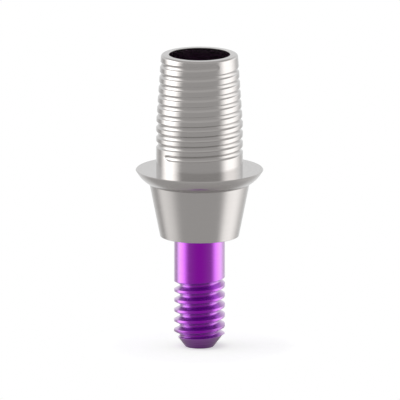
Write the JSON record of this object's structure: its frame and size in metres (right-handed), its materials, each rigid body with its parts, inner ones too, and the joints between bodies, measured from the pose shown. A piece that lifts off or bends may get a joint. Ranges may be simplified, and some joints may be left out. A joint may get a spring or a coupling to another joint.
{
  "type": "dental abutment",
  "caption": "Turned dental abutment: a hollow post with a helical retention groove on a flanged cone, fastened by a purple anodised screw through its bore.",
  "frame": {"origin": "centre of the implant's mouth: the circle where the connection cone meets the underside of the flange, on the turning axis", "axes": "+Z along the turning axis, out of the implant towards the crown; +X to the picture's right, +Y away from the camera"},
  "size_m": [0.005, 0.005, 0.0117],
  "materials": {
    "titanium": "turned titanium alloy, satin with fine circular tool lines",
    "purple_anodised": "titanium alloy anodised purple, bright satin"
  },
  "bodies": {
    "base": {"titanium_base": "titanium"},
    "screw": {"abutment_screw": "purple_anodised"}
  },
  "joints": [
    {"name": "screw_turn", "type": "hinge", "parent": "base", "child": "screw", "pos_m": [0, 0, 0], "axis": [0, 0, 1], "continuous": true}
  ]
}
